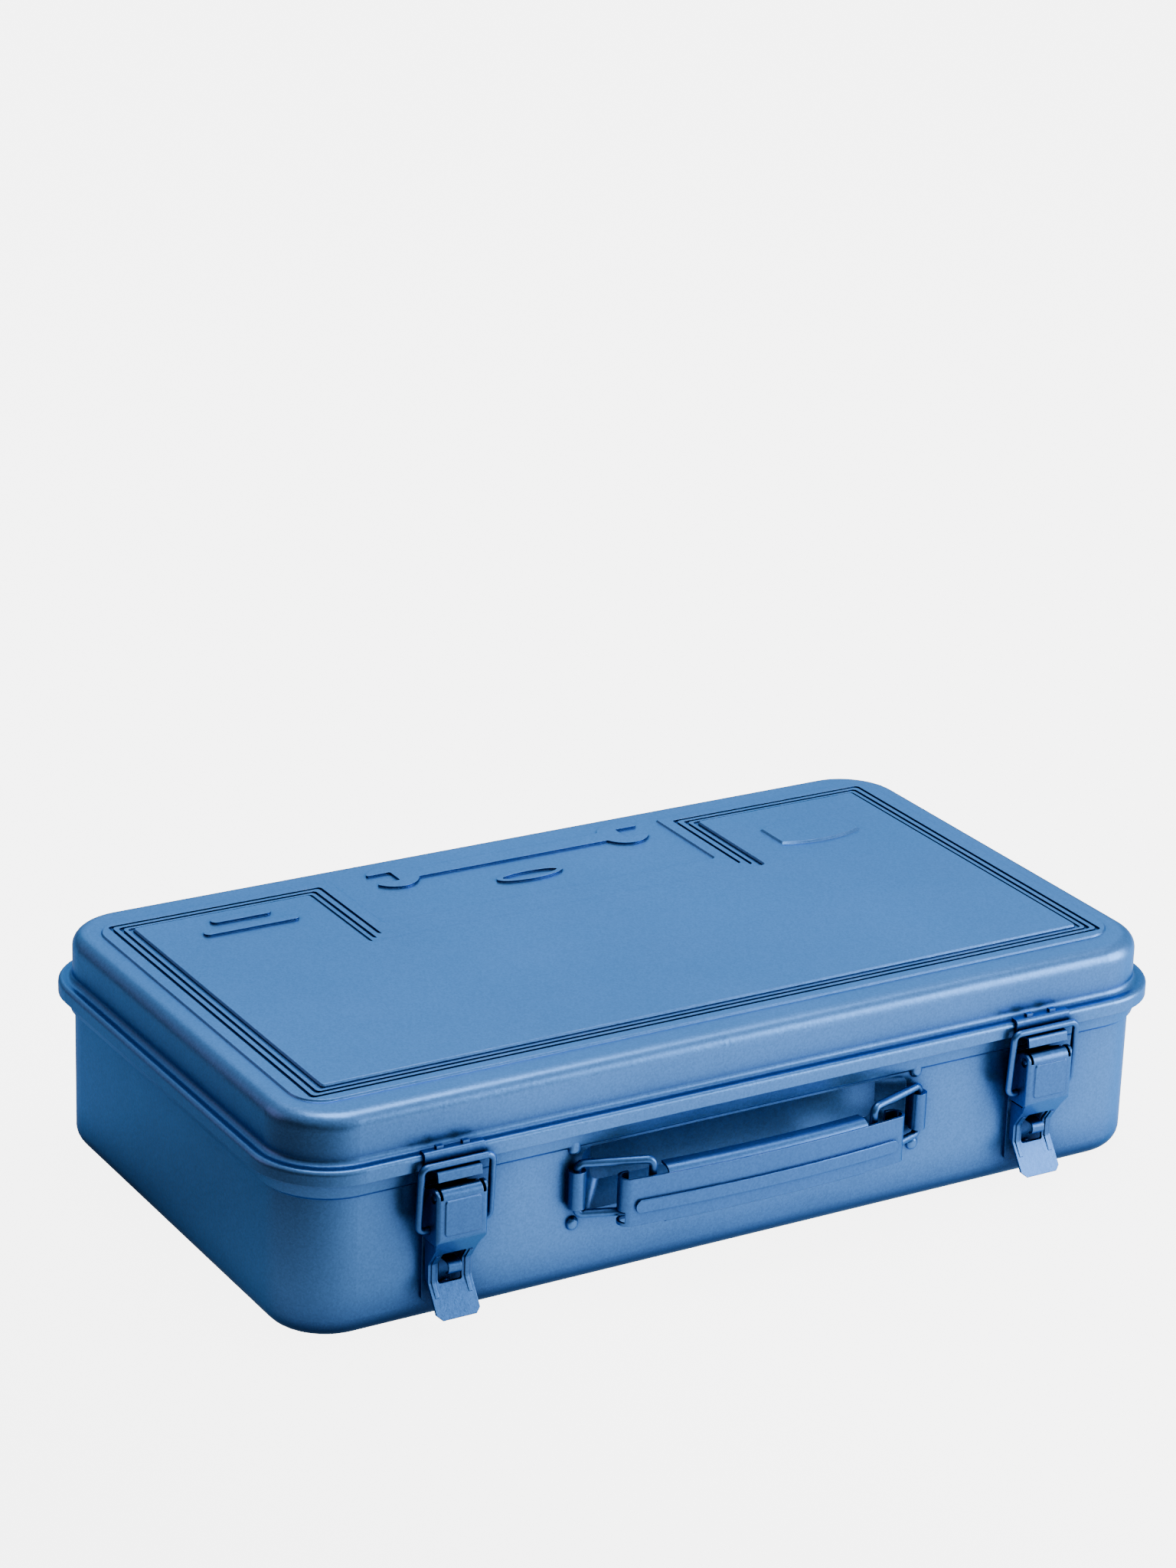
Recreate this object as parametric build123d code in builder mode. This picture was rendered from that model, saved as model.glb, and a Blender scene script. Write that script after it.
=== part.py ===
"""Pressed-steel tool box: drawn body and lid, two toggle latches, a folding handle and two rear hinges.

Millimetres, +Z up, front towards -Y. The origin is on the floor, under the middle of the body.
"""

from build123d import *
from math import asin, degrees
import os

os.makedirs("parts", exist_ok=True)

# ---------------------------------------------------------------- body and lid
sheet = 0.8                    # steel sheet of body and lid
body_half_x = 176.2            # outer faces of the plain body wall
body_half_y = 97.4
corner_radius = 22.7           # upright corners of the body
bottom_radius = 7.5            # rolled edge between wall and bottom
band_bottom = 53.0             # the wall steps out here to a flared band
band_step = 1.6
band_step_height = 1.4
band_flare = 3.6               # outward reach of the band under the lip
lip_height = 63.5              # middle of the rolled lip
lip_out = 3.3
lip_radius = 1.4
plate_inset = 14.0             # where a swept edge hands over to its flat plate
plate_lap = 0.1

lid_border = 83.4              # top face of the lid's border
lid_wall_out = 0.8             # lid wall stands this far outside the body wall
lid_edge_radius = 5.5
rim_out = 6.0                  # outer face of the lid's skirt
rim_top = 66.0
rim_cove = 2.2                 # hollow between lid wall and rim
rim_round = 1.8
skirt_bottom = 60.6

# Outlines of the embossing, from outside to inside:
# half length, front edge, back edge, notch half width, notch front, corner radius
border_step = (167.5, -84.8, 84.8, 71.0, 41.0, 12.0)
outer_groove = (162.0, -80.2, 80.2, 77.0, 31.5, 1.8)
inner_groove = (159.0, -77.6, 77.6, 80.4, 28.7, 1.6)
field_step = (155.6, -74.6, 74.6, 83.9, 25.9, 1.4)
border_rise = 0.7              # rise at the border step
field_rise = 0.7               # further rise at the field step
groove_half = 0.65
groove_depth = 0.8
field_groove_depth = 0.5       # groove at the foot of the field step
under_inset = 2.0              # the underside rises this far inside the field step
under_rise = 1.2
notch_corner = 1.5
step_taper = 38
field_height = border_rise + field_rise
emboss = 0.8                   # height of the plaque and the pictograms
plaque_x = 118.5               # blank plaque on the right of the field
plaque_y = 47.5
plaque_length = 36.0
plaque_width = 16.0
plaque_bow = 3.5
plaque_slope = 0.8
spanner_x = 2.5                # pictogram on the panel by the back edge
spanner_y = 78.0
spanner_head_x = 50.0          # middle of each head, along the spanner
spanner_head = 10.0            # radius of the heads
spanner_shank = 8.0
spanner_jaw = 8.4
spanner_corner = 0.7
oval_y = 58.0                  # plain oval ring below the spanner
oval_half_x = 14.0
oval_half_y = 4.5
oval_line_x = 2.5
oval_line_y = 1.9
bar_x = 116.5                  # two plain bars on the left of the field
bar_short = 24.0
bar_short_y = 66.0
bar_long = 38.0
bar_long_y = 57.0
bar_width = 4.0

# ---------------------------------------------------------------- handle
barrel_x = 70.5
barrel_radius = 3.0
barrel_bore = 1.55
barrel_bottom = 31.8
barrel_top = 45.9
barrel_pad_half = 2.2
barrel_pad_depth = 1.2
wire_radius = 1.5
link_low = 29.3                # centre lines of the link's two arms
link_high = 48.4
link_reach = 25.0              # along X, from the barrel to the far leg
link_out = 8.65                # outwards, from the barrel to the far leg
link_bend = 2.3

grip_face = 14.5               # front face of the grip, outwards from the body wall
grip_sheet = 1.0
grip_bow = 2.6                 # the middle of the grip stands out this much further
grip_low = 26.0
grip_high = 43.8
curl_radius = 3.25             # middle of the sheet, at the curled ends
curl_x = 54.75
curl_return = 1.8
flange_half_x = 41.0
flange_low = 24.6
flange_high = 45.2
flange_back = 7.6
flange_bend = 3.4
rib_length = 108.0
rib_height = 5.0
rib_z = 33.4
rib_proud = 1.0
arm_gap_low = 27.2             # opening in each curl for the link's lower arm
arm_gap_high = 31.4

recess_depth = 8.0
recess_width = 134.0
recess_floor_width = 118.0
recess_low = 28.0
recess_high = 52.2
recess_floor_low = 34.5
recess_floor_high = 50.8
recess_corner = 4.0
bead_width = 4.6
bead_proud = 1.9
upper_bead_z = 54.2            # a bead above and a bead below each barrel
upper_bead_length = 7.4
lower_bead_z = 24.6
lower_bead_length = 5.2

# ---------------------------------------------------------------- latches
latch_x = 120.7
pivot_out = 10.2               # lever pin
pivot_z = 51.8
lever_face = 13.4              # front face of the lever
lever_half = 9.75
lever_sheet = 1.0
lever_roll = 3.2               # outer radius round the pin
lever_back = 1.8               # rear edge of the lever's side flanges
lever_pin_radius = 1.15
bail_out = 7.2                 # bail ends in the lever
bail_z = 38.8
bail_bar_out = 8.8
bail_bar_z = 62.8
bail_half = 13.6
bail_radius = 1.25
box_low = 36.6                 # lower edge of the lever's box
neck_face = 5.0                # the neck dips towards the wall behind the window
neck_half = 8.3
neck_high = 24.4
neck_low = 17.4
tab_half = 8.3
tab_bottom = 6.3
tab_reach = 13.0               # lower edge of the finger tab, outwards from the wall
panel_width = 14.0             # raised panel on the lever's face
panel_low = 38.3
panel_high = 51.5
window_half = 4.6
window_low = 16.6
window_high = 29.0
lever_corner = 1.5             # rounding of the lever's long front corners
block_depth = 30.0
base_sheet = 1.0
base_half = 8.6
base_low = 9.0
base_high = 52.0
ear_half = 8.6
ear_sheet = 0.85
ear_round = 1.75               # radius of the ears round the pin
roll_half = 7.6                # the lever's roll fits between the ears
hole_mouth = 1.9
spring_sheet = 0.6
spring_half = 2.5
spring_foot = 10.5             # lower end of the spring strip
curl_out = 8.7                 # the spring's curl stands out through the window
curl_high = 25.0
curl_low = 20.8
rivet_head = 2.0
rivet_proud = 0.9
spring_rivet_z = 14.0
base_rivet_z = 38.0

keeper_low = 60.3              # plate over the lid's rim
keeper_high = 66.55
keeper_half = 11.5
keeper_sheet = 1.0
ledge_z = 60.6                 # ledge that the bail hooks over
ledge_out = 10.0
ledge_lip = 57.4               # lower edge of the ledge's drop lip
ledge_half = 8.4
ledge_sheet = 0.9

# ---------------------------------------------------------------- rear hinges
hinge_x = 105.0
hinge_half = 18.0
hinge_out = 8.8                # axis, outwards from the body's rear wall
hinge_z = 59.0
hinge_sheet = 1.2
knuckle_radius = 2.5
hinge_pin_radius = 1.25
hinge_bore = 1.3
lid_knuckle_half = 6.0
knuckle_gap = 0.15


def front_section(x):
    """Plane across the front wall at x: local x points outwards, local y up."""
    return Plane(origin=(x, -body_half_y, 0), x_dir=(0, -1, 0), z_dir=(-1, 0, 0))


def rear_section(x):
    """Plane across the rear wall at x: local x points outwards, local y up."""
    return Plane(origin=(x, body_half_y, 0), x_dir=(0, 1, 0), z_dir=(1, 0, 0))


def front_face(out):
    """Plane parallel to the front wall, this far outside it: local x to the right, local y up."""
    return Plane(origin=(0, -body_half_y - out, 0), x_dir=(1, 0, 0), z_dir=(0, -1, 0))


def finish(builder, name):
    """Label one finished piece and write its file."""
    builder.part.label = name
    export_step(builder.part, "parts/" + name + ".step")


# Centre line that the edge sections of body and lid follow, starting in the middle of the front
with BuildLine() as outline:
    FilletPolyline(
        (0, -body_half_y),
        (-body_half_x, -body_half_y),
        (-body_half_x, body_half_y),
        (0, body_half_y),
        radius=corner_radius,
    )
    FilletPolyline(
        (0, body_half_y),
        (body_half_x, body_half_y),
        (body_half_x, -body_half_y),
        (0, -body_half_y),
        radius=corner_radius,
    )


# ---------------------------------------------------------------- body shell
def recess(grow, depth, start):
    """Tapered recess behind the grip, grown by the sheet where its outer skin is wanted."""
    mid_low = (recess_low + recess_high) / 2
    mid_floor = (recess_floor_low + recess_floor_high) / 2
    mouth = Plane(origin=(0, -body_half_y - start, mid_low), x_dir=(1, 0, 0), z_dir=(0, -1, 0))
    floor = Plane(origin=(0, -body_half_y + depth, mid_floor), x_dir=(1, 0, 0), z_dir=(0, -1, 0))
    with BuildPart() as pocket:
        with BuildSketch(mouth):
            RectangleRounded(
                recess_width + 2 * grow,
                recess_high - recess_low + 2 * grow,
                recess_corner + grow,
            )
        with BuildSketch(floor):
            RectangleRounded(
                recess_floor_width + 2 * grow,
                recess_floor_high - recess_floor_low + 2 * grow,
                recess_corner + grow,
            )
        loft()
    return pocket.part


def bead(x, z, length):
    """Half-round bead pressed outwards from the front wall."""
    with BuildPart() as dome:
        with BuildSketch(front_face(-sheet / 2)):
            with Locations((x, z)):
                SlotOverall(length, bead_width, rotation=90)
        extrude(amount=bead_proud + sheet / 2)
        fillet(dome.faces().sort_by(Axis.Y)[0].edges(), radius=bead_proud - 0.2)
    return dome.part


recess_skin = recess(sheet, recess_depth + sheet, 0)
recess_void = recess(0, recess_depth, 0)
beads = (
    bead(-barrel_x, upper_bead_z, upper_bead_length),
    bead(-barrel_x, lower_bead_z, lower_bead_length),
    bead(barrel_x, upper_bead_z, upper_bead_length),
    bead(barrel_x, lower_bead_z, lower_bead_length),
)

with BuildPart() as body_shell:
    with BuildSketch(front_section(0)):
        with BuildLine():
            Line((-plate_inset, 0), (-bottom_radius, 0))
            RadiusArc((-bottom_radius, 0), (0, bottom_radius), -bottom_radius)
            Polyline(
                (0, bottom_radius),
                (0, band_bottom),
                (band_step, band_bottom + band_step_height),
                (band_flare, lip_height - 1),
                (band_flare - sheet, lip_height - 0.6),
                (band_step - sheet, band_bottom + band_step_height + 0.4),
                (-sheet, band_bottom + 0.4),
                (-sheet, bottom_radius),
            )
            RadiusArc((-sheet, bottom_radius), (-bottom_radius, sheet), bottom_radius - sheet)
            Polyline((-bottom_radius, sheet), (-plate_inset, sheet), (-plate_inset, 0))
        make_face()
        with Locations((lip_out, lip_height)):
            Circle(lip_radius)
    sweep(path=outline.wire())
    with BuildSketch(Plane.XY):
        RectangleRounded(
            2 * (body_half_x - plate_inset + plate_lap),
            2 * (body_half_y - plate_inset + plate_lap),
            corner_radius - plate_inset + plate_lap,
        )
    extrude(amount=sheet)
    add(recess_skin)
    add(recess_void, mode=Mode.SUBTRACT)
    for dome in beads:
        add(dome)
finish(body_shell, "body_shell")


# ---------------------------------------------------------------- lid shell
def step_outline(shape, grow):
    """Closed outline of one embossing: a rectangle with a notch in the middle of its back edge."""
    half_x, front, back, notch_half, notch_front, corner = shape
    outer = half_x + grow
    inner = notch_half - grow
    with BuildSketch() as region:
        with BuildLine():
            Polyline(
                (-outer, front - grow),
                (outer, front - grow),
                (outer, back + grow),
                (inner, back + grow),
                (inner, notch_front - grow),
                (-inner, notch_front - grow),
                (-inner, back + grow),
                (-outer, back + grow),
                close=True,
            )
        make_face()
        fillet(region.vertices().filter_by(lambda v: abs(v.X) > inner + 1), radius=corner)
        fillet(region.vertices().filter_by(lambda v: abs(v.X) < inner + 1), radius=notch_corner)
    return region.sketch


def groove(shape, level, outward, inward, depth):
    """Narrow band along one embossing outline, as deep as the groove cut there."""
    with BuildPart() as band:
        with BuildSketch(Plane.XY.offset(level - depth)):
            add(step_outline(shape, outward))
            add(step_outline(shape, -inward), mode=Mode.SUBTRACT)
        extrude(amount=depth)
    return band.part


def spanner():
    """Open-ended spanner pictogram lying along X."""
    with BuildSketch() as shape:
        Rectangle(2 * spanner_head_x - 4, spanner_shank)
        with Locations((-spanner_head_x, 0), (spanner_head_x, 0)):
            Circle(spanner_head)
        with Locations((-spanner_head_x - 6, 0), (spanner_head_x + 6, 0)):
            Rectangle(14, spanner_jaw, mode=Mode.SUBTRACT)
        fillet(shape.vertices(), radius=spanner_corner)
    return shape.sketch


def plaque():
    """Raised blank plaque, its long sides bowed and all its sides sloping."""
    half_x = plaque_length / 2
    half_y = plaque_width / 2
    with BuildPart() as block:
        for level, inset in ((0, 0), (emboss, plaque_slope)):
            flat = Plane(origin=(plaque_x, plaque_y, lid_border + field_height + level))
            with BuildSketch(flat):
                with BuildLine():
                    Line((-half_x + inset, -half_y + inset), (-half_x + inset, half_y - inset))
                    ThreePointArc(
                        (-half_x + inset, half_y - inset),
                        (0, half_y + plaque_bow - inset),
                        (half_x - inset, half_y - inset),
                    )
                    Line((half_x - inset, half_y - inset), (half_x - inset, -half_y + inset))
                    ThreePointArc(
                        (half_x - inset, -half_y + inset),
                        (0, -half_y - plaque_bow + inset),
                        (-half_x + inset, -half_y + inset),
                    )
                make_face()
        loft()
    return block.part


ring_level = lid_border + border_rise
grooves = (
    groove(outer_groove, ring_level, groove_half, groove_half, groove_depth),
    groove(inner_groove, ring_level, groove_half, groove_half, groove_depth),
    groove(field_step, ring_level, 2 * groove_half, 0, field_groove_depth),
)
raised_plaque = plaque()
spanner_shape = spanner()

with BuildPart() as lid_shell:
    wall_in = lid_wall_out - sheet
    edge_in = lid_wall_out - lid_edge_radius
    edge_z = lid_border - lid_edge_radius
    cove_x = lid_wall_out + rim_cove
    cove_z = rim_top + rim_cove
    round_x = rim_out - rim_round
    round_z = rim_top - rim_round
    with BuildSketch(front_section(0)):
        with BuildLine():
            Line((-plate_inset, lid_border), (edge_in, lid_border))
            RadiusArc((edge_in, lid_border), (lid_wall_out, edge_z), lid_edge_radius)
            Line((lid_wall_out, edge_z), (lid_wall_out, cove_z))
            RadiusArc((lid_wall_out, cove_z), (cove_x, rim_top), -rim_cove)
            Line((cove_x, rim_top), (round_x, rim_top))
            RadiusArc((round_x, rim_top), (rim_out, round_z), rim_round)
            Polyline(
                (rim_out, round_z),
                (rim_out, skirt_bottom),
                (rim_out - sheet, skirt_bottom),
                (rim_out - sheet, round_z),
            )
            RadiusArc((rim_out - sheet, round_z), (round_x, rim_top - sheet), -(rim_round - sheet))
            Line((round_x, rim_top - sheet), (cove_x, rim_top - sheet))
            RadiusArc((cove_x, rim_top - sheet), (wall_in, cove_z), rim_cove + sheet)
            Line((wall_in, cove_z), (wall_in, edge_z))
            RadiusArc((wall_in, edge_z), (edge_in, lid_border - sheet), -(lid_edge_radius - sheet))
            Polyline(
                (edge_in, lid_border - sheet),
                (-plate_inset, lid_border - sheet),
                (-plate_inset, lid_border),
            )
        make_face()
    sweep(path=outline.wire())
    with BuildSketch(Plane.XY.offset(lid_border - sheet)):
        RectangleRounded(
            2 * (body_half_x - plate_inset + plate_lap),
            2 * (body_half_y - plate_inset + plate_lap),
            corner_radius - plate_inset + plate_lap,
        )
    extrude(amount=sheet)
    # Border step, then the raised field; the sheet's underside rises inside the field
    with BuildSketch(Plane.XY.offset(lid_border)):
        add(step_outline(border_step, 0))
    extrude(amount=border_rise, taper=step_taper)
    with BuildSketch(Plane.XY.offset(lid_border + border_rise)):
        add(step_outline(field_step, 0))
    extrude(amount=field_rise, taper=step_taper)
    with BuildSketch(Plane.XY.offset(lid_border - sheet)):
        add(step_outline(field_step, -under_inset))
    extrude(amount=under_rise, mode=Mode.SUBTRACT)
    for band in grooves:
        add(band, mode=Mode.SUBTRACT)
    add(raised_plaque)
    # Spanner pictogram and a plain oval on the panel by the back edge
    with BuildSketch(Plane.XY.offset(lid_border)):
        with Locations((spanner_x, spanner_y)):
            add(spanner_shape)
        with Locations((0, oval_y)):
            Ellipse(oval_half_x, oval_half_y)
            Ellipse(oval_half_x - oval_line_x, oval_half_y - oval_line_y, mode=Mode.SUBTRACT)
    extrude(amount=emboss)
    # Two plain bars on the left of the field
    with BuildSketch(Plane.XY.offset(lid_border + field_height)):
        with Locations((-bar_x, bar_short_y)):
            SlotOverall(bar_short, bar_width)
        with Locations((-bar_x, bar_long_y)):
            SlotOverall(bar_long, bar_width)
    extrude(amount=emboss)
finish(lid_shell, "lid_shell")


# ---------------------------------------------------------------- handle
def handle_barrel(side, name):
    """Tube that carries a link, on a pad against the front wall."""
    x = side * barrel_x
    with BuildPart() as barrel:
        with BuildSketch(Plane.XY.offset(barrel_bottom)):
            with Locations((x, -body_half_y - barrel_radius)):
                Circle(barrel_radius)
            with Locations((x, -body_half_y - barrel_pad_depth / 2)):
                Rectangle(2 * barrel_pad_half, barrel_pad_depth)
            with Locations((x, -body_half_y - barrel_radius)):
                Circle(barrel_bore, mode=Mode.SUBTRACT)
        extrude(amount=barrel_top - barrel_bottom)
    finish(barrel, name)


def handle_link(side, name):
    """Closed wire loop: one leg in the barrel, the other in the grip's channel."""
    start = (side * barrel_x, -body_half_y - barrel_radius, 0)
    along = Vector(-side * link_reach, -link_out, 0).normalized()
    length = (link_reach**2 + link_out**2) ** 0.5
    loop = Plane(origin=start, x_dir=along, z_dir=along.cross(Vector(0, 0, 1)))
    middle = length / 2
    with BuildLine(loop) as path:
        FilletPolyline(
            (middle, link_low),
            (0, link_low),
            (0, link_high),
            (middle, link_high),
            radius=link_bend,
        )
        FilletPolyline(
            (middle, link_high),
            (length, link_high),
            (length, link_low),
            (middle, link_low),
            radius=link_bend,
        )
    section = Plane(origin=loop.from_local_coords((middle, link_low)), z_dir=along)
    with BuildPart() as link:
        with BuildSketch(section):
            Circle(wire_radius)
        sweep(path=path.wire())
    finish(link, name)


handle_barrel(-1, "handle_barrel_left")
handle_barrel(1, "handle_barrel_right")
handle_link(-1, "handle_link_left")
handle_link(1, "handle_link_right")

# The grip bows outwards: its sheet lies on an arc about a vertical axis behind the box front
plate_y = -body_half_y - grip_face + grip_sheet / 2
bow_radius = (curl_x**2 + grip_bow**2) / (2 * grip_bow)
bow_axis = Axis((0, plate_y - grip_bow + bow_radius, 0), (0, 0, 1))
back_y = plate_y + 2 * curl_radius
arm_gap_mid = (arm_gap_low + arm_gap_high) / 2
arm_gap_y = plate_y + grip_sheet / 2 + curl_radius + 1

with BuildPart() as rib_outline:
    with BuildSketch(front_face(0)):
        with Locations((0, rib_z)):
            SlotOverall(rib_length, rib_height)
    extrude(amount=grip_face + grip_bow + 5)
with BuildPart() as rib:
    # Curved slab, kept inside the rib's outline
    with BuildSketch(front_section(0)):
        with Locations((grip_face + grip_bow + rib_proud / 2 - 0.1, rib_z)):
            RectangleRounded(rib_proud + 0.2, rib_height, 0.45)
    revolve(axis=bow_axis, revolution_arc=8)
    mirror(about=Plane.YZ)
    add(rib_outline.part, mode=Mode.INTERSECT)

with BuildPart() as handle_grip:
    # Folded top and bottom flanges between the notches
    with BuildSketch(front_section(0)):
        with BuildLine():
            FilletPolyline(
                (flange_back + grip_bow, flange_low),
                (grip_face + grip_bow - grip_sheet / 2, flange_low),
                (grip_face + grip_bow - grip_sheet / 2, flange_high),
                (flange_back + grip_bow, flange_high),
                radius=flange_bend,
            )
        trace(line_width=grip_sheet)
    revolve(axis=bow_axis, revolution_arc=degrees(asin(flange_half_x / bow_radius)))
    mirror(about=Plane.YZ)
    # Front plate with curled ends, seen from above
    with BuildSketch(Plane.XY.offset(grip_low)):
        with BuildLine():
            Line((-curl_x + curl_return, back_y), (-curl_x, back_y))
            RadiusArc((-curl_x, back_y), (-curl_x, plate_y), -curl_radius)
            ThreePointArc((-curl_x, plate_y), (0, plate_y - grip_bow), (curl_x, plate_y))
            RadiusArc((curl_x, plate_y), (curl_x, back_y), -curl_radius)
            Line((curl_x, back_y), (curl_x - curl_return, back_y))
        trace(line_width=grip_sheet)
    extrude(amount=grip_high - grip_low)
    # Long pressed rib
    add(rib.part)
    # Gap in each curl for the lower arm of the link
    with Locations((-curl_x, arm_gap_y, arm_gap_mid), (curl_x, arm_gap_y, arm_gap_mid)):
        Box(12, 2 * curl_radius + 2, arm_gap_high - arm_gap_low, mode=Mode.SUBTRACT)
finish(handle_grip, "handle_grip")


# ---------------------------------------------------------------- latches
def latch_base(side, name):
    """Plate on the front wall with two ears for the lever pin."""
    x = side * latch_x
    with BuildPart() as base:
        with BuildSketch(front_face(0)):
            with Locations((x, (base_low + base_high) / 2)):
                RectangleRounded(2 * base_half, base_high - base_low, 1.5)
        extrude(amount=base_sheet)
        for edge in (-1, 1):
            with BuildSketch(front_section(x + edge * (ear_half - ear_sheet / 2))):
                with BuildLine():
                    Polyline(
                        (0.5, pivot_z - 10.8),
                        (0.5, pivot_z - 1),
                        (7.2, pivot_z + 2.2),
                        (9, pivot_z),
                        (7.2, pivot_z - 5.8),
                        close=True,
                    )
                make_face()
                with Locations((pivot_out, pivot_z)):
                    Circle(ear_round)
                with BuildLine():
                    Polyline(
                        (6, pivot_z + 1.6),
                        (pivot_out, pivot_z + ear_round),
                        (pivot_out, pivot_z - ear_round),
                        (6, pivot_z - 4.8),
                        close=True,
                    )
                make_face()
                with Locations((pivot_out, pivot_z)):
                    Circle(lever_pin_radius + 0.02, mode=Mode.SUBTRACT)
            extrude(amount=ear_sheet / 2, both=True)
    finish(base, name)


def latch_spring(side, name):
    """Strip on the base that curls out through the lever's window."""
    x = side * latch_x
    foot = base_sheet + spring_sheet / 2
    with BuildPart() as spring:
        with BuildSketch(front_section(x)):
            with BuildLine():
                FilletPolyline(
                    (foot, spring_foot),
                    (foot, curl_high),
                    (curl_out, curl_high),
                    (curl_out, curl_low),
                    (curl_out - 2.1, curl_low),
                    radius=2.0,
                )
            trace(line_width=spring_sheet)
        extrude(amount=spring_half, both=True)
    finish(spring, name)


def lever_pin(side, name):
    """Pin through the base's ears and the lever's flanges."""
    with BuildPart() as pin:
        with BuildSketch(Plane.YZ.offset(side * latch_x - lever_half + 0.2)):
            with Locations((-body_half_y - pivot_out, pivot_z)):
                Circle(lever_pin_radius)
        extrude(amount=2 * lever_half - 0.4)
        fillet(pin.edges(), radius=0.6)
    finish(pin, name)


def lever(side, name):
    """Pressed lever: a box round the pin, a necked window for the spring, and a finger tab."""
    x = side * latch_x
    mid_face = lever_face - lever_sheet / 2
    mid_neck = neck_face - lever_sheet / 2
    with BuildPart() as front_outline:
        with BuildSketch(front_face(0)):
            with BuildLine():
                Polyline(
                    (x - lever_half, 60),
                    (x - lever_half, box_low - 0.8),
                    (x - neck_half, box_low - 5.2),
                    (x - neck_half, neck_low),
                    (x - tab_half, tab_bottom + 6),
                    (x - tab_half, tab_bottom + 1.6),
                    (x - tab_half + 1.8, tab_bottom),
                    (x + tab_half - 1.8, tab_bottom),
                    (x + tab_half, tab_bottom + 1.6),
                    (x + tab_half, tab_bottom + 6),
                    (x + neck_half, neck_low),
                    (x + neck_half, box_low - 5.2),
                    (x + lever_half, box_low - 0.8),
                    (x + lever_half, 60),
                    close=True,
                )
            make_face()
        extrude(amount=20)
    # Block with rounded long edges that the lever is kept inside
    with BuildPart() as rounded_block:
        with BuildSketch(Plane.XY):
            with Locations((x, -body_half_y - lever_face + block_depth / 2)):
                RectangleRounded(2 * lever_half, block_depth, lever_corner)
        extrude(amount=80)
    with BuildPart() as body:
        with BuildSketch(front_section(x)):
            with BuildLine():
                FilletPolyline(
                    (mid_face, pivot_z),
                    (mid_face, box_low),
                    (mid_neck, neck_high),
                    (mid_neck, neck_low),
                    (tab_reach, tab_bottom - 1),
                    radius=2.4,
                )
            trace(line_width=lever_sheet)
        extrude(amount=lever_half, both=True)
        add(front_outline.part, mode=Mode.INTERSECT)
        # Rolled top, narrower than the lever so that it swings between the ears
        with BuildSketch(front_section(x)):
            with Locations((pivot_out, pivot_z)):
                Circle(lever_roll)
                Circle(lever_roll - lever_sheet, mode=Mode.SUBTRACT)
            with Locations((pivot_out - 5, pivot_z), (pivot_out, pivot_z - 5)):
                Rectangle(10, 10, mode=Mode.SUBTRACT)
        extrude(amount=roll_half, both=True)
        # Side flanges
        for edge in (-1, 1):
            with BuildSketch(front_section(x + edge * (lever_half - lever_sheet / 2))):
                with BuildLine():
                    Polyline(
                        (pivot_out - lever_roll, pivot_z),
                        (lever_face - 0.3, pivot_z),
                        (lever_face - 0.3, 36.4),
                        (lever_face - 1.8, 34.6),
                        (lever_back + 1, 34.6),
                        (lever_back, 36.0),
                        (lever_back, 43.5),
                        close=True,
                    )
                make_face()
                with Locations((pivot_out, pivot_z)):
                    Circle(lever_roll)
                with Locations((pivot_out, pivot_z)):
                    Circle(lever_pin_radius + 0.07, mode=Mode.SUBTRACT)
                with Locations((bail_out, bail_z)):
                    Circle(bail_radius + 0.07, mode=Mode.SUBTRACT)
            extrude(amount=lever_sheet / 2, both=True)
            # Wider mouth of the pin hole
            with BuildSketch(front_section(x + edge * (lever_half - 0.25))):
                with Locations((pivot_out, pivot_z)):
                    Circle(hole_mouth)
            extrude(amount=0.25, both=True, mode=Mode.SUBTRACT)
            # Turned-in edge beside the neck
            with BuildSketch(front_section(x + edge * (neck_half - 0.4))):
                with BuildLine():
                    Polyline(
                        (mid_face - 2.9, box_low - 3.6),
                        (mid_neck, neck_high),
                        (mid_neck, neck_low),
                        (lever_back + 0.8, neck_low + 0.8),
                        (lever_back + 0.6, box_low - 3.6),
                        close=True,
                    )
                make_face()
            extrude(amount=0.4, both=True)
        add(rounded_block.part, mode=Mode.INTERSECT)
        # Pressed panel on the face
        with BuildSketch(front_face(lever_face)):
            with Locations((x, (panel_low + panel_high) / 2)):
                RectangleRounded(panel_width, panel_high - panel_low, 1.2)
        extrude(amount=0.5, taper=30)
        # Window for the spring
        with BuildSketch(front_face(0)):
            with Locations((x, (window_low + window_high) / 2)):
                RectangleRounded(2 * window_half, window_high - window_low, 0.8)
        extrude(amount=12, mode=Mode.SUBTRACT)
        # Two ribs pressed along the neck
        for edge in (-1, 1):
            with BuildSketch(front_section(x + edge * 6.4)):
                with BuildLine():
                    FilletPolyline(
                        (mid_neck + 3.4, neck_high + 4.2),
                        (mid_neck + 0.5, neck_high),
                        (mid_neck + 0.5, neck_low),
                        (mid_neck + 3.6, neck_low - 4.8),
                        radius=2.4,
                    )
                trace(line_width=0.9)
            extrude(amount=0.7, both=True)
    finish(body, name)


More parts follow.
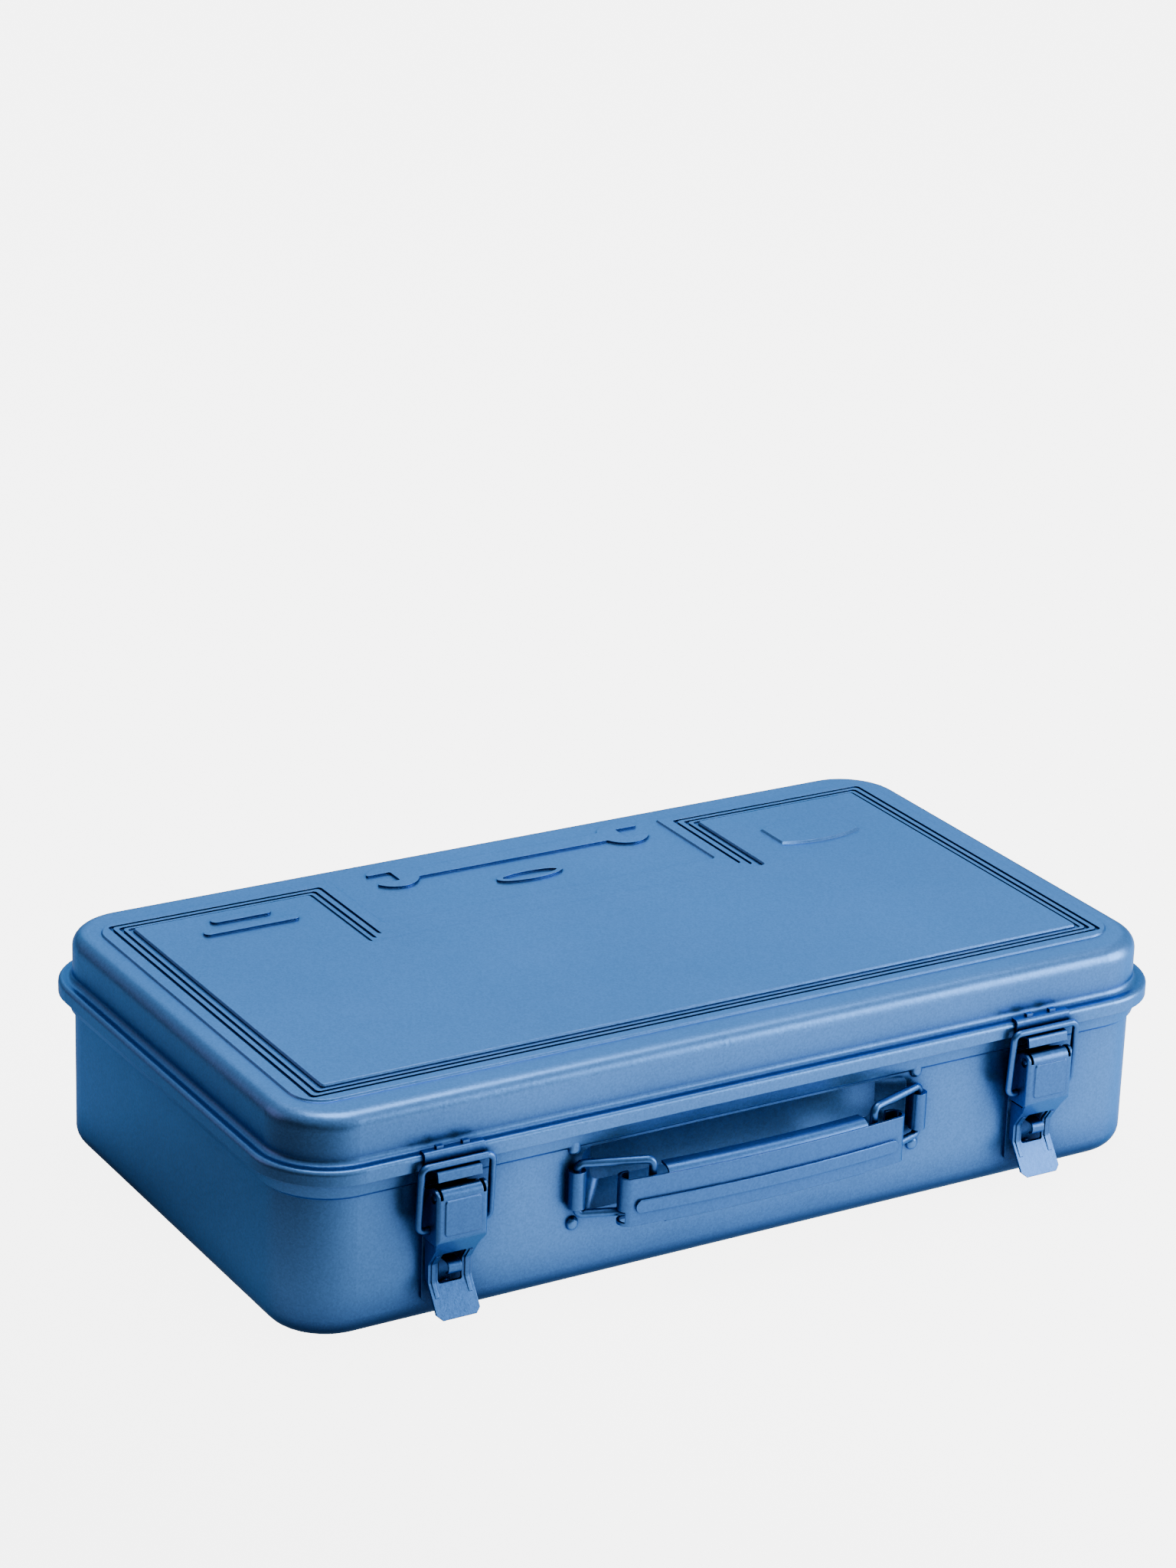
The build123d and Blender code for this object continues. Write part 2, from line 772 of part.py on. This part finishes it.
def bail(side, name):
    """Wire bail: a bar over the keeper, two legs, and ends turned into the lever."""
    x = side * latch_x
    bar_y = -body_half_y - bail_bar_out
    end_y = -body_half_y - bail_out
    inner_end = lever_half - 2.2
    with BuildLine() as path:
        FilletPolyline(
            (x - inner_end, end_y, bail_z),
            (x - bail_half, end_y, bail_z),
            (x - bail_half, bar_y, bail_bar_z),
            (x + bail_half, bar_y, bail_bar_z),
            (x + bail_half, end_y, bail_z),
            (x + inner_end, end_y, bail_z),
            radius=2.4,
        )
    with BuildPart() as wire:
        with BuildSketch(Plane(origin=path.wire() @ 0, z_dir=(1, 0, 0))):
            Circle(bail_radius)
        sweep(path=path.wire())
    finish(wire, name)


def keeper(side, name):
    """Plate over the lid's rim with a ledge that the bail hooks over."""
    x = side * latch_x
    face = rim_out + 0.05 + keeper_sheet / 2
    with BuildPart() as plate:
        with BuildSketch(front_section(x)):
            with BuildLine():
                FilletPolyline((face, keeper_low), (face, keeper_high), (3.4, keeper_high), radius=0.9)
            trace(line_width=keeper_sheet)
        extrude(amount=keeper_half, both=True)
        # Ledge with a drop lip, narrower than the bail
        with BuildSketch(front_section(x)):
            with BuildLine():
                FilletPolyline((face, ledge_z), (ledge_out, ledge_z), (ledge_out + 0.6, ledge_lip), radius=0.9)
            trace(line_width=ledge_sheet)
        extrude(amount=ledge_half, both=True)
        # Two small nibs on the top edge
        with Locations((x - 5, -body_half_y - 4.6, 67.4), (x + 5, -body_half_y - 4.6, 67.4)):
            Box(2.6, 1.8, 1.4)
    finish(plate, name)


for side, hand in ((-1, "left"), (1, "right")):
    latch_base(side, "latch_base_" + hand)
    latch_spring(side, "latch_spring_" + hand)
    lever_pin(side, "lever_pin_" + hand)
    lever(side, "lever_" + hand)
    bail(side, "bail_" + hand)
    keeper(side, "keeper_" + hand)

# Domed rivet heads: one holds each spring's foot, one is higher on each base
with BuildPart() as latch_rivets:
    with BuildSketch(front_face(base_sheet + spring_sheet)):
        with Locations((-latch_x, spring_rivet_z), (latch_x, spring_rivet_z)):
            Circle(rivet_head)
    extrude(amount=rivet_proud)
    with BuildSketch(front_face(base_sheet)):
        with Locations((-latch_x, base_rivet_z), (latch_x, base_rivet_z)):
            Circle(rivet_head)
    extrude(amount=rivet_proud)
    fillet(latch_rivets.faces().filter_by(Axis.Y).filter_by(
        lambda f: f.normal_at().Y < 0).edges(), radius=0.6)
finish(latch_rivets, "latch_base_rivets")


# ---------------------------------------------------------------- rear hinges
def knuckle(section, reach):
    """Solid round of a knuckle on one section plane."""
    with BuildPart() as roll:
        with BuildSketch(section):
            with Locations((hinge_out, hinge_z)):
                Circle(knuckle_radius)
        extrude(amount=reach, both=True)
    return roll.part


def hinge_body_leaf(side, name):
    """Leaf on the rear wall of the body, with a knuckle at each end."""
    x = side * hinge_x
    half_sheet = hinge_sheet / 2
    with BuildPart() as leaf:
        with BuildSketch(rear_section(x)):
            with BuildLine():
                FilletPolyline((half_sheet, 36), (half_sheet, 50), (hinge_out - 1, hinge_z - 1.6), radius=1.5)
            trace(line_width=hinge_sheet)
        extrude(amount=hinge_half, both=True)
        add(knuckle(rear_section(x), hinge_half))
        # Room for the lid's knuckle
        with BuildSketch(rear_section(x)):
            with Locations((hinge_out, hinge_z)):
                Circle(knuckle_radius + 0.4)
        extrude(amount=lid_knuckle_half + knuckle_gap, both=True, mode=Mode.SUBTRACT)
        with BuildSketch(rear_section(x)):
            with Locations((hinge_out, hinge_z)):
                Circle(hinge_pin_radius + 0.02)
        extrude(amount=hinge_half, both=True, mode=Mode.SUBTRACT)
    finish(leaf, name)


def hinge_lid_leaf(side, name):
    """Leaf on the rear wall of the lid, round the rim to the middle knuckle."""
    x = side * hinge_x
    half_sheet = hinge_sheet / 2
    wall = lid_wall_out + half_sheet
    rim = rim_out + 0.1 + half_sheet
    with BuildPart() as leaf:
        with BuildSketch(rear_section(x)):
            with BuildLine():
                FilletPolyline((wall, 79), (wall, 69.4), (rim, 67.4), (rim, hinge_z + 0.5), radius=0.9)
            trace(line_width=hinge_sheet)
        extrude(amount=hinge_half, both=True)
        # Only the middle knuckle reaches the pin
        with BuildSketch(rear_section(x + hinge_half / 2 + lid_knuckle_half / 2)):
            with Locations((rim, hinge_z)):
                Rectangle(6, 5.4)
        extrude(amount=(hinge_half - lid_knuckle_half) / 2 + 0.01, both=True, mode=Mode.SUBTRACT)
        with BuildSketch(rear_section(x - hinge_half / 2 - lid_knuckle_half / 2)):
            with Locations((rim, hinge_z)):
                Rectangle(6, 5.4)
        extrude(amount=(hinge_half - lid_knuckle_half) / 2 + 0.01, both=True, mode=Mode.SUBTRACT)
        add(knuckle(rear_section(x), lid_knuckle_half))
        with BuildSketch(rear_section(x)):
            with Locations((hinge_out, hinge_z)):
                Circle(hinge_bore)
        extrude(amount=lid_knuckle_half, both=True, mode=Mode.SUBTRACT)
    finish(leaf, name)


def hinge_pin(side, name):
    """Pin through the knuckles with a small head at each end."""
    x = side * hinge_x
    with BuildPart() as pin:
        with BuildSketch(rear_section(x)):
            with Locations((hinge_out, hinge_z)):
                Circle(hinge_pin_radius)
        extrude(amount=hinge_half + 0.1, both=True)
        for end in (-1, 1):
            with BuildSketch(rear_section(x + end * (hinge_half + 0.4))):
                with Locations((hinge_out, hinge_z)):
                    Circle(1.9)
            extrude(amount=0.35, both=True)
    finish(pin, name)


for side, hand in ((-1, "left"), (1, "right")):
    hinge_body_leaf(side, "hinge_body_leaf_" + hand)
    hinge_lid_leaf(side, "hinge_lid_leaf_" + hand)
    hinge_pin(side, "hinge_pin_" + hand)
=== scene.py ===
"""Blue pressed-steel tool box: procedural paint, floor, light and camera around the CAD frame."""

import math

import bpy
from mathutils import Matrix, Vector

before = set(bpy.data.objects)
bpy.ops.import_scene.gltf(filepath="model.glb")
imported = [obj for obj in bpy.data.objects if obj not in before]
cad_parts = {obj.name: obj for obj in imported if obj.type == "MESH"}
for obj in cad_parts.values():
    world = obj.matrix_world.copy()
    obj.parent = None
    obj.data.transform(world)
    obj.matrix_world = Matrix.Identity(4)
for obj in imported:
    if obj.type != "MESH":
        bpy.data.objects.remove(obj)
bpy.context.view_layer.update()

# Lengths are metres and colours linear RGB. A pair is the low and the high end of a range.

# Paint
SHELL_BLUE = (0.074, 0.216, 0.535)
HARDWARE_BLUE = (0.050, 0.155, 0.42)
SHEEN_BLUE = (0.35, 0.62, 1.0)
SHELLS = ("body_shell", "lid_shell")
METALLIC = 0.94
ROUGHNESS = (0.31, 0.37)
ROUGHNESS_SCALE = 40
COAT = 0.10
COAT_ROUGHNESS = 0.22

# Paler bends, partly wear and partly a painted highlight: the rounding is narrower than half of the
# 0.8 mm sheet
SHELL_EDGE = 0.00038
HARDWARE_EDGE = 0.00035
SHELL_WEAR_AND_HIGHLIGHT = 0.75
HARDWARE_WEAR_AND_HIGHLIGHT = 0.50
EDGE_SAMPLES = 4
EDGE_AGREEMENT = (0.80, 0.985)
WEAR_AND_HIGHLIGHT_PATCHES = (0.40, 0.62)
WEAR_AND_HIGHLIGHT_SCALE = 70
PALE_GAIN = 1.4
PALE_LIFT = 0.16

# Metal flake and slow colour drift
DRIFT = (0.93, 1.07)
DRIFT_SCALE = 9
FLAKE = (0.91, 1.09)
FLAKE_CELLS = (0.15, 0.85)
FLAKE_SCALE = 1500
FLAKE_ROUGHNESS = (-0.01, 0.02)
FLAKE_ROUGHNESS_CELLS = (0.1, 0.9)

# Painted shade in hollows: ambient occlusion darkens the colour
PAINTED_SHADE_REACH = 0.020
PAINTED_SHADE_SAMPLES = 6
PAINTED_SHADE_OPENNESS = (0.22, 0.90)
PAINTED_SHADE_DEPTH = (0.10, 1.0)
PAINTED_SHADE_POWERS = (2.3, 2.0, 1.5)  # red, green, blue

# Orange peel and grain
PEEL_SCALE = 620
GRAIN_SCALE = 2300
GRAIN_SHARE = 0.35
RELIEF_STRENGTH = 0.22
RELIEF_HEIGHT = 0.00022

# Floor and backdrop. The camera sees both glows; the paint sees the bounce and the sky instead.
FLOOR_GREY = (0.40, 0.39, 0.40)
FLOOR_ROUGHNESS = 0.9
FLOOR_TONE = (0.995, 1.005)
FLOOR_TONE_SCALE = 3
FLOOR_SIZE = 14
FLOOR_PLACE = (0, 2, 0)
FLOOR_GLOW = 5.5
BACKDROP_GLOW = 5.9
FLOOR_BOUNCE = 1.05
BOUNCE_BEHIND = 0.08
BOUNCE_DIRECTION = (0.50, -0.85, 0)
BOUNCE_REACH = (-0.12, 0.10)
CARD_DIRECTION = (-0.92, -0.39, 0)
CARD_START = 0.10
CARD_FADE = 0.22
CARD_SHADE = 0.12
SKY_DIRECTION = (0.62, 0.10, 0.78)
SKY_COLOUR = (0.95, 0.97, 1.0)
SKY_LIGHT = (0.04, 0.9)
SKY_SPREAD = (-0.25, 0.8)
WHITE = (1, 1, 1)

# Soft boxes: name, place, target, size, power and colour
LIGHTS = (
    ("key", (1.6, -1.2, 0.7), (0, 0, 0.04), 1.3, 42, WHITE),
    ("back_sheen", (1.0, 2.3, 1.4), (0, 0, 0.08), 2.4, 9, WHITE),
    ("top", (0.3, 0.2, 2.0), (0, 0, 0.08), 1.2, 26, WHITE),
    ("left_fill", (-2.0, 1.4, 0.9), (-0.4, 0.4, 0), 1.4, 5, (1.0, 0.45, 0.50)),
)

# Camera at the picture's own angle
AZIMUTH = math.radians(-31.141)
ELEVATION = math.radians(21.054)
ROLL = math.radians(1.943)
CAMERA_PLACE = (-0.76657, -1.25067, 0.70459)
LENS = 100.41
SENSOR_WIDTH = 36
NEAR_CLIP = 0.05


def link(tree, source, socket):
    """Join an output socket to an input socket."""
    tree.links.new(source, socket)


def noise(tree, coords, scale, detail, roughness=0.5):
    """Noise texture in object space, returned as its value socket."""
    node = tree.nodes.new("ShaderNodeTexNoise")
    node.inputs["Scale"].default_value = scale
    node.inputs["Detail"].default_value = detail
    node.inputs["Roughness"].default_value = roughness
    link(tree, coords, node.inputs["Vector"])
    return node.outputs["Fac"]


def remap(tree, value, low, high, from_low=0.3, from_high=0.7):
    """Map a value onto a range, clamped. The default source range suits a noise value."""
    node = tree.nodes.new("ShaderNodeMapRange")
    node.inputs["From Min"].default_value = from_low
    node.inputs["From Max"].default_value = from_high
    node.inputs["To Min"].default_value = low
    node.inputs["To Max"].default_value = high
    link(tree, value, node.inputs["Value"])
    return node.outputs["Result"]


def math_node(tree, operation, a, b):
    """One math operation on two sockets or numbers."""
    node = tree.nodes.new("ShaderNodeMath")
    node.operation = operation
    for slot, item in zip(node.inputs, (a, b)):
        if isinstance(item, (int, float)):
            slot.default_value = item
        else:
            link(tree, item, slot)
    return node.outputs[0]


def dot_product(tree, a, b):
    """Dot product of a socket with another socket or a fixed direction."""
    node = tree.nodes.new("ShaderNodeVectorMath")
    node.operation = "DOT_PRODUCT"
    link(tree, a, node.inputs[0])
    if isinstance(b, tuple):
        node.inputs[1].default_value = b
    else:
        link(tree, b, node.inputs[1])
    return node.outputs["Value"]


def combine(tree, red, green, blue):
    """Colour made of three value sockets."""
    node = tree.nodes.new("ShaderNodeCombineColor")
    link(tree, red, node.inputs["Red"])
    link(tree, green, node.inputs["Green"])
    link(tree, blue, node.inputs["Blue"])
    return node.outputs["Color"]


def emission(tree, strength):
    """White light source; the strength may be a socket or a number."""
    node = tree.nodes.new("ShaderNodeEmission")
    node.inputs["Color"].default_value = (*WHITE, 1)
    if isinstance(strength, (int, float)):
        node.inputs["Strength"].default_value = strength
    else:
        link(tree, strength, node.inputs["Strength"])
    return node.outputs[0]


def add_shaders(tree, a, b):
    """Sum of two shaders."""
    node = tree.nodes.new("ShaderNodeAddShader")
    link(tree, a, node.inputs[0])
    link(tree, b, node.inputs[1])
    return node.outputs[0]


def mix_colour(tree, factor, a, b, blend="MIX"):
    """Blend two colours, each a socket or an RGB tuple, by a factor that is a socket or a number."""
    node = tree.nodes.new("ShaderNodeMix")
    node.data_type = "RGBA"
    node.blend_type = blend
    for name, item in (("Factor_Float", factor), ("A_Color", a), ("B_Color", b)):
        slot = [s for s in node.inputs if s.identifier == name][0]
        if isinstance(item, tuple):
            slot.default_value = (*item, 1)
        elif isinstance(item, (int, float)):
            slot.default_value = item
        else:
            link(tree, item, slot)
    return [s for s in node.outputs if s.identifier == "Result_Color"][0]


def multiply(tree, a, b):
    """Product of two colours, channel by channel."""
    return mix_colour(tree, 1.0, a, b, "MULTIPLY")


def metallic_paint(name, colour, edge_radius, wear_and_highlight):
    """Satin metallic enamel: flake, orange peel, slow colour drift, bends paled partly as wear and
    partly as a painted highlight, and painted shade in hollows.
    """
    mat = bpy.data.materials.new(name)
    mat.use_nodes = True
    tree = mat.node_tree
    shader = tree.nodes["Principled BSDF"]
    coords = tree.nodes.new("ShaderNodeTexCoord").outputs["Object"]

    # Edges: where a rounded normal leaves the true one; there the colour is paled, partly as wear
    # and partly as a painted highlight
    bevel = tree.nodes.new("ShaderNodeBevel")
    bevel.samples = EDGE_SAMPLES
    bevel.inputs["Radius"].default_value = edge_radius
    true_normal = tree.nodes.new("ShaderNodeNewGeometry").outputs["Normal"]
    agreement = dot_product(tree, bevel.outputs["Normal"], true_normal)
    edge = remap(tree, agreement, 1.0, 0.0, *EDGE_AGREEMENT)
    patches = noise(tree, coords, WEAR_AND_HIGHLIGHT_SCALE, detail=4, roughness=0.7)
    patch = remap(tree, patches, 0.0, 1.0, *WEAR_AND_HIGHLIGHT_PATCHES)
    worn_and_highlit = math_node(tree, "MULTIPLY", math_node(tree, "MULTIPLY", edge, patch), wear_and_highlight)

    # Colour: flake sparkle over slow drift
    drift = remap(tree, noise(tree, coords, DRIFT_SCALE, detail=3), *DRIFT)
    flake_cells = tree.nodes.new("ShaderNodeTexVoronoi")
    flake_cells.inputs["Scale"].default_value = FLAKE_SCALE
    link(tree, coords, flake_cells.inputs["Vector"])
    grey = tree.nodes.new("ShaderNodeRGBToBW")
    link(tree, flake_cells.outputs["Color"], grey.inputs["Color"])
    cell = grey.outputs["Val"]
    level = math_node(tree, "MULTIPLY", drift, remap(tree, cell, *FLAKE, *FLAKE_CELLS))
    tinted = multiply(tree, colour, combine(tree, level, level, level))
    # Pale colour on the bends: partly wear, partly a painted highlight
    pale = tuple(min(1.0, c * PALE_GAIN + PALE_LIFT) for c in colour)
    edged = mix_colour(tree, worn_and_highlit, tinted, pale)

    # Painted shade: ambient occlusion darkens the colour in grooves, gaps and the recess
    shade_occlusion = tree.nodes.new("ShaderNodeAmbientOcclusion")
    shade_occlusion.samples = PAINTED_SHADE_SAMPLES
    shade_occlusion.inputs["Distance"].default_value = PAINTED_SHADE_REACH
    painted_shade_level = remap(tree, shade_occlusion.outputs["AO"], *PAINTED_SHADE_DEPTH, *PAINTED_SHADE_OPENNESS)
    shades = [math_node(tree, "POWER", painted_shade_level, power) for power in PAINTED_SHADE_POWERS]
    final = multiply(tree, edged, combine(tree, *shades))
    link(tree, final, shader.inputs["Base Color"])

    # Finish: satin, a little uneven, with a thin clear coat
    shader.inputs["Metallic"].default_value = METALLIC
    shader.inputs["Specular Tint"].default_value = (*SHEEN_BLUE, 1)
    satin = remap(tree, noise(tree, coords, ROUGHNESS_SCALE, detail=5), *ROUGHNESS)
    glint = remap(tree, cell, *FLAKE_ROUGHNESS, *FLAKE_ROUGHNESS_CELLS)
    link(tree, math_node(tree, "ADD", satin, glint), shader.inputs["Roughness"])
    shader.inputs["Coat Weight"].default_value = COAT
    shader.inputs["Coat Roughness"].default_value = COAT_ROUGHNESS

    # Relief: orange peel over a fine grain
    peel = noise(tree, coords, PEEL_SCALE, detail=2)
    grain = noise(tree, coords, GRAIN_SCALE, detail=2)
    height = math_node(tree, "ADD", peel, math_node(tree, "MULTIPLY", grain, GRAIN_SHARE))
    bump = tree.nodes.new("ShaderNodeBump")
    bump.inputs["Strength"].default_value = RELIEF_STRENGTH
    bump.inputs["Distance"].default_value = RELIEF_HEIGHT
    link(tree, height, bump.inputs["Height"])
    link(tree, bevel.outputs["Normal"], bump.inputs["Normal"])
    link(tree, bump.outputs["Normal"], shader.inputs["Normal"])
    link(tree, bump.outputs["Normal"], shader.inputs["Coat Normal"])
    return mat


def floor_material(name, colour):
    """Matt floor: pale to the camera, and greyer to the paint, as on a small white sweep."""
    mat = bpy.data.materials.new(name)
    mat.use_nodes = True
    tree = mat.node_tree
    shader = tree.nodes["Principled BSDF"]
    coords = tree.nodes.new("ShaderNodeTexCoord").outputs["Object"]
    place = tree.nodes.new("ShaderNodeNewGeometry").outputs["Position"]

    # A faint tone change, and a dark card beyond the near corner
    tone = remap(tree, noise(tree, coords, FLOOR_TONE_SCALE, detail=2), *FLOOR_TONE)
    toned = multiply(tree, colour, combine(tree, tone, tone, tone))
    beyond = dot_product(tree, place, CARD_DIRECTION)
    card = remap(tree, beyond, 1.0, CARD_SHADE, CARD_START, CARD_START + CARD_FADE)
    carded = multiply(tree, toned, combine(tree, card, card, card))
    link(tree, carded, shader.inputs["Base Color"])
    shader.inputs["Roughness"].default_value = FLOOR_ROUGHNESS
    matt = shader.outputs[0]

    # The camera sees a steady glow; the paint sees light from the floor before the box
    ahead = dot_product(tree, place, BOUNCE_DIRECTION)
    bounce = remap(tree, ahead, BOUNCE_BEHIND, FLOOR_BOUNCE, *BOUNCE_REACH)
    to_camera = add_shaders(tree, matt, emission(tree, FLOOR_GLOW))
    to_paint = add_shaders(tree, matt, emission(tree, math_node(tree, "MULTIPLY", card, bounce)))
    path = tree.nodes.new("ShaderNodeLightPath")
    choose = tree.nodes.new("ShaderNodeMixShader")
    link(tree, path.outputs["Is Camera Ray"], choose.inputs[0])
    link(tree, to_paint, choose.inputs[1])
    link(tree, to_camera, choose.inputs[2])
    link(tree, choose.outputs[0], tree.nodes["Material Output"].inputs["Surface"])
    return mat


def area_light(name, place, target, size, power, colour):
    """Square soft box aimed at a point."""
    data = bpy.data.lights.new(name, "AREA")
    data.size = size
    data.energy = power
    data.color = colour
    lamp = bpy.data.objects.new(name, data)
    bpy.context.scene.collection.objects.link(lamp)
    lamp.location = place
    direction = Vector(target) - Vector(place)
    lamp.rotation_euler = direction.to_track_quat("-Z", "Y").to_euler()


shell_paint = metallic_paint("shell_paint", SHELL_BLUE, SHELL_EDGE, SHELL_WEAR_AND_HIGHLIGHT)
hardware_paint = metallic_paint("hardware_paint", HARDWARE_BLUE, HARDWARE_EDGE, HARDWARE_WEAR_AND_HIGHLIGHT)
for name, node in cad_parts.items():
    paint = shell_paint if name in SHELLS else hardware_paint
    node.data.materials.clear()
    node.data.materials.append(paint)

bpy.ops.mesh.primitive_plane_add(size=FLOOR_SIZE, location=FLOOR_PLACE)
floor = bpy.context.object
floor.name = "floor"
floor.data.materials.append(floor_material("floor_matt", FLOOR_GREY))

for light in LIGHTS:
    area_light(*light)

# World: brighter overhead and to the right, dark low on the left
world = bpy.data.worlds.new("studio")
bpy.context.scene.world = world
world.use_nodes = True
sky = world.node_tree
backdrop = sky.nodes["Background"]
sky_coords = sky.nodes.new("ShaderNodeTexCoord").outputs["Generated"]
sky_level = remap(sky, dot_product(sky, sky_coords, SKY_DIRECTION), *SKY_LIGHT, *SKY_SPREAD)
backdrop.inputs["Color"].default_value = (*SKY_COLOUR, 1)
# The camera sees a backdrop as pale as the floor
sky_path = sky.nodes.new("ShaderNodeLightPath")
sky_choice = sky.nodes.new("ShaderNodeMix")
link(sky, sky_path.outputs["Is Camera Ray"], sky_choice.inputs["Factor"])
link(sky, sky_level, sky_choice.inputs["A"])
sky_choice.inputs["B"].default_value = BACKDROP_GLOW
link(sky, sky_choice.outputs["Result"], backdrop.inputs["Strength"])

# Camera axes: back points from the box to the camera
back = Vector((
    math.sin(AZIMUTH) * math.cos(ELEVATION),
    -math.cos(AZIMUTH) * math.cos(ELEVATION),
    math.sin(ELEVATION),
))
side = Vector((0, 0, 1)).cross(back).normalized()
up = back.cross(side)
right = math.cos(ROLL) * side + math.sin(ROLL) * up
top = -math.sin(ROLL) * side + math.cos(ROLL) * up
camera_data = bpy.data.cameras.new("camera")
camera_data.lens = LENS
camera_data.sensor_width = SENSOR_WIDTH
camera_data.clip_start = NEAR_CLIP
camera = bpy.data.objects.new("camera", camera_data)
bpy.context.scene.collection.objects.link(camera)
turn = Matrix((right, top, back)).transposed().to_4x4()
camera.matrix_world = Matrix.Translation(CAMERA_PLACE) @ turn
bpy.context.scene.camera = camera
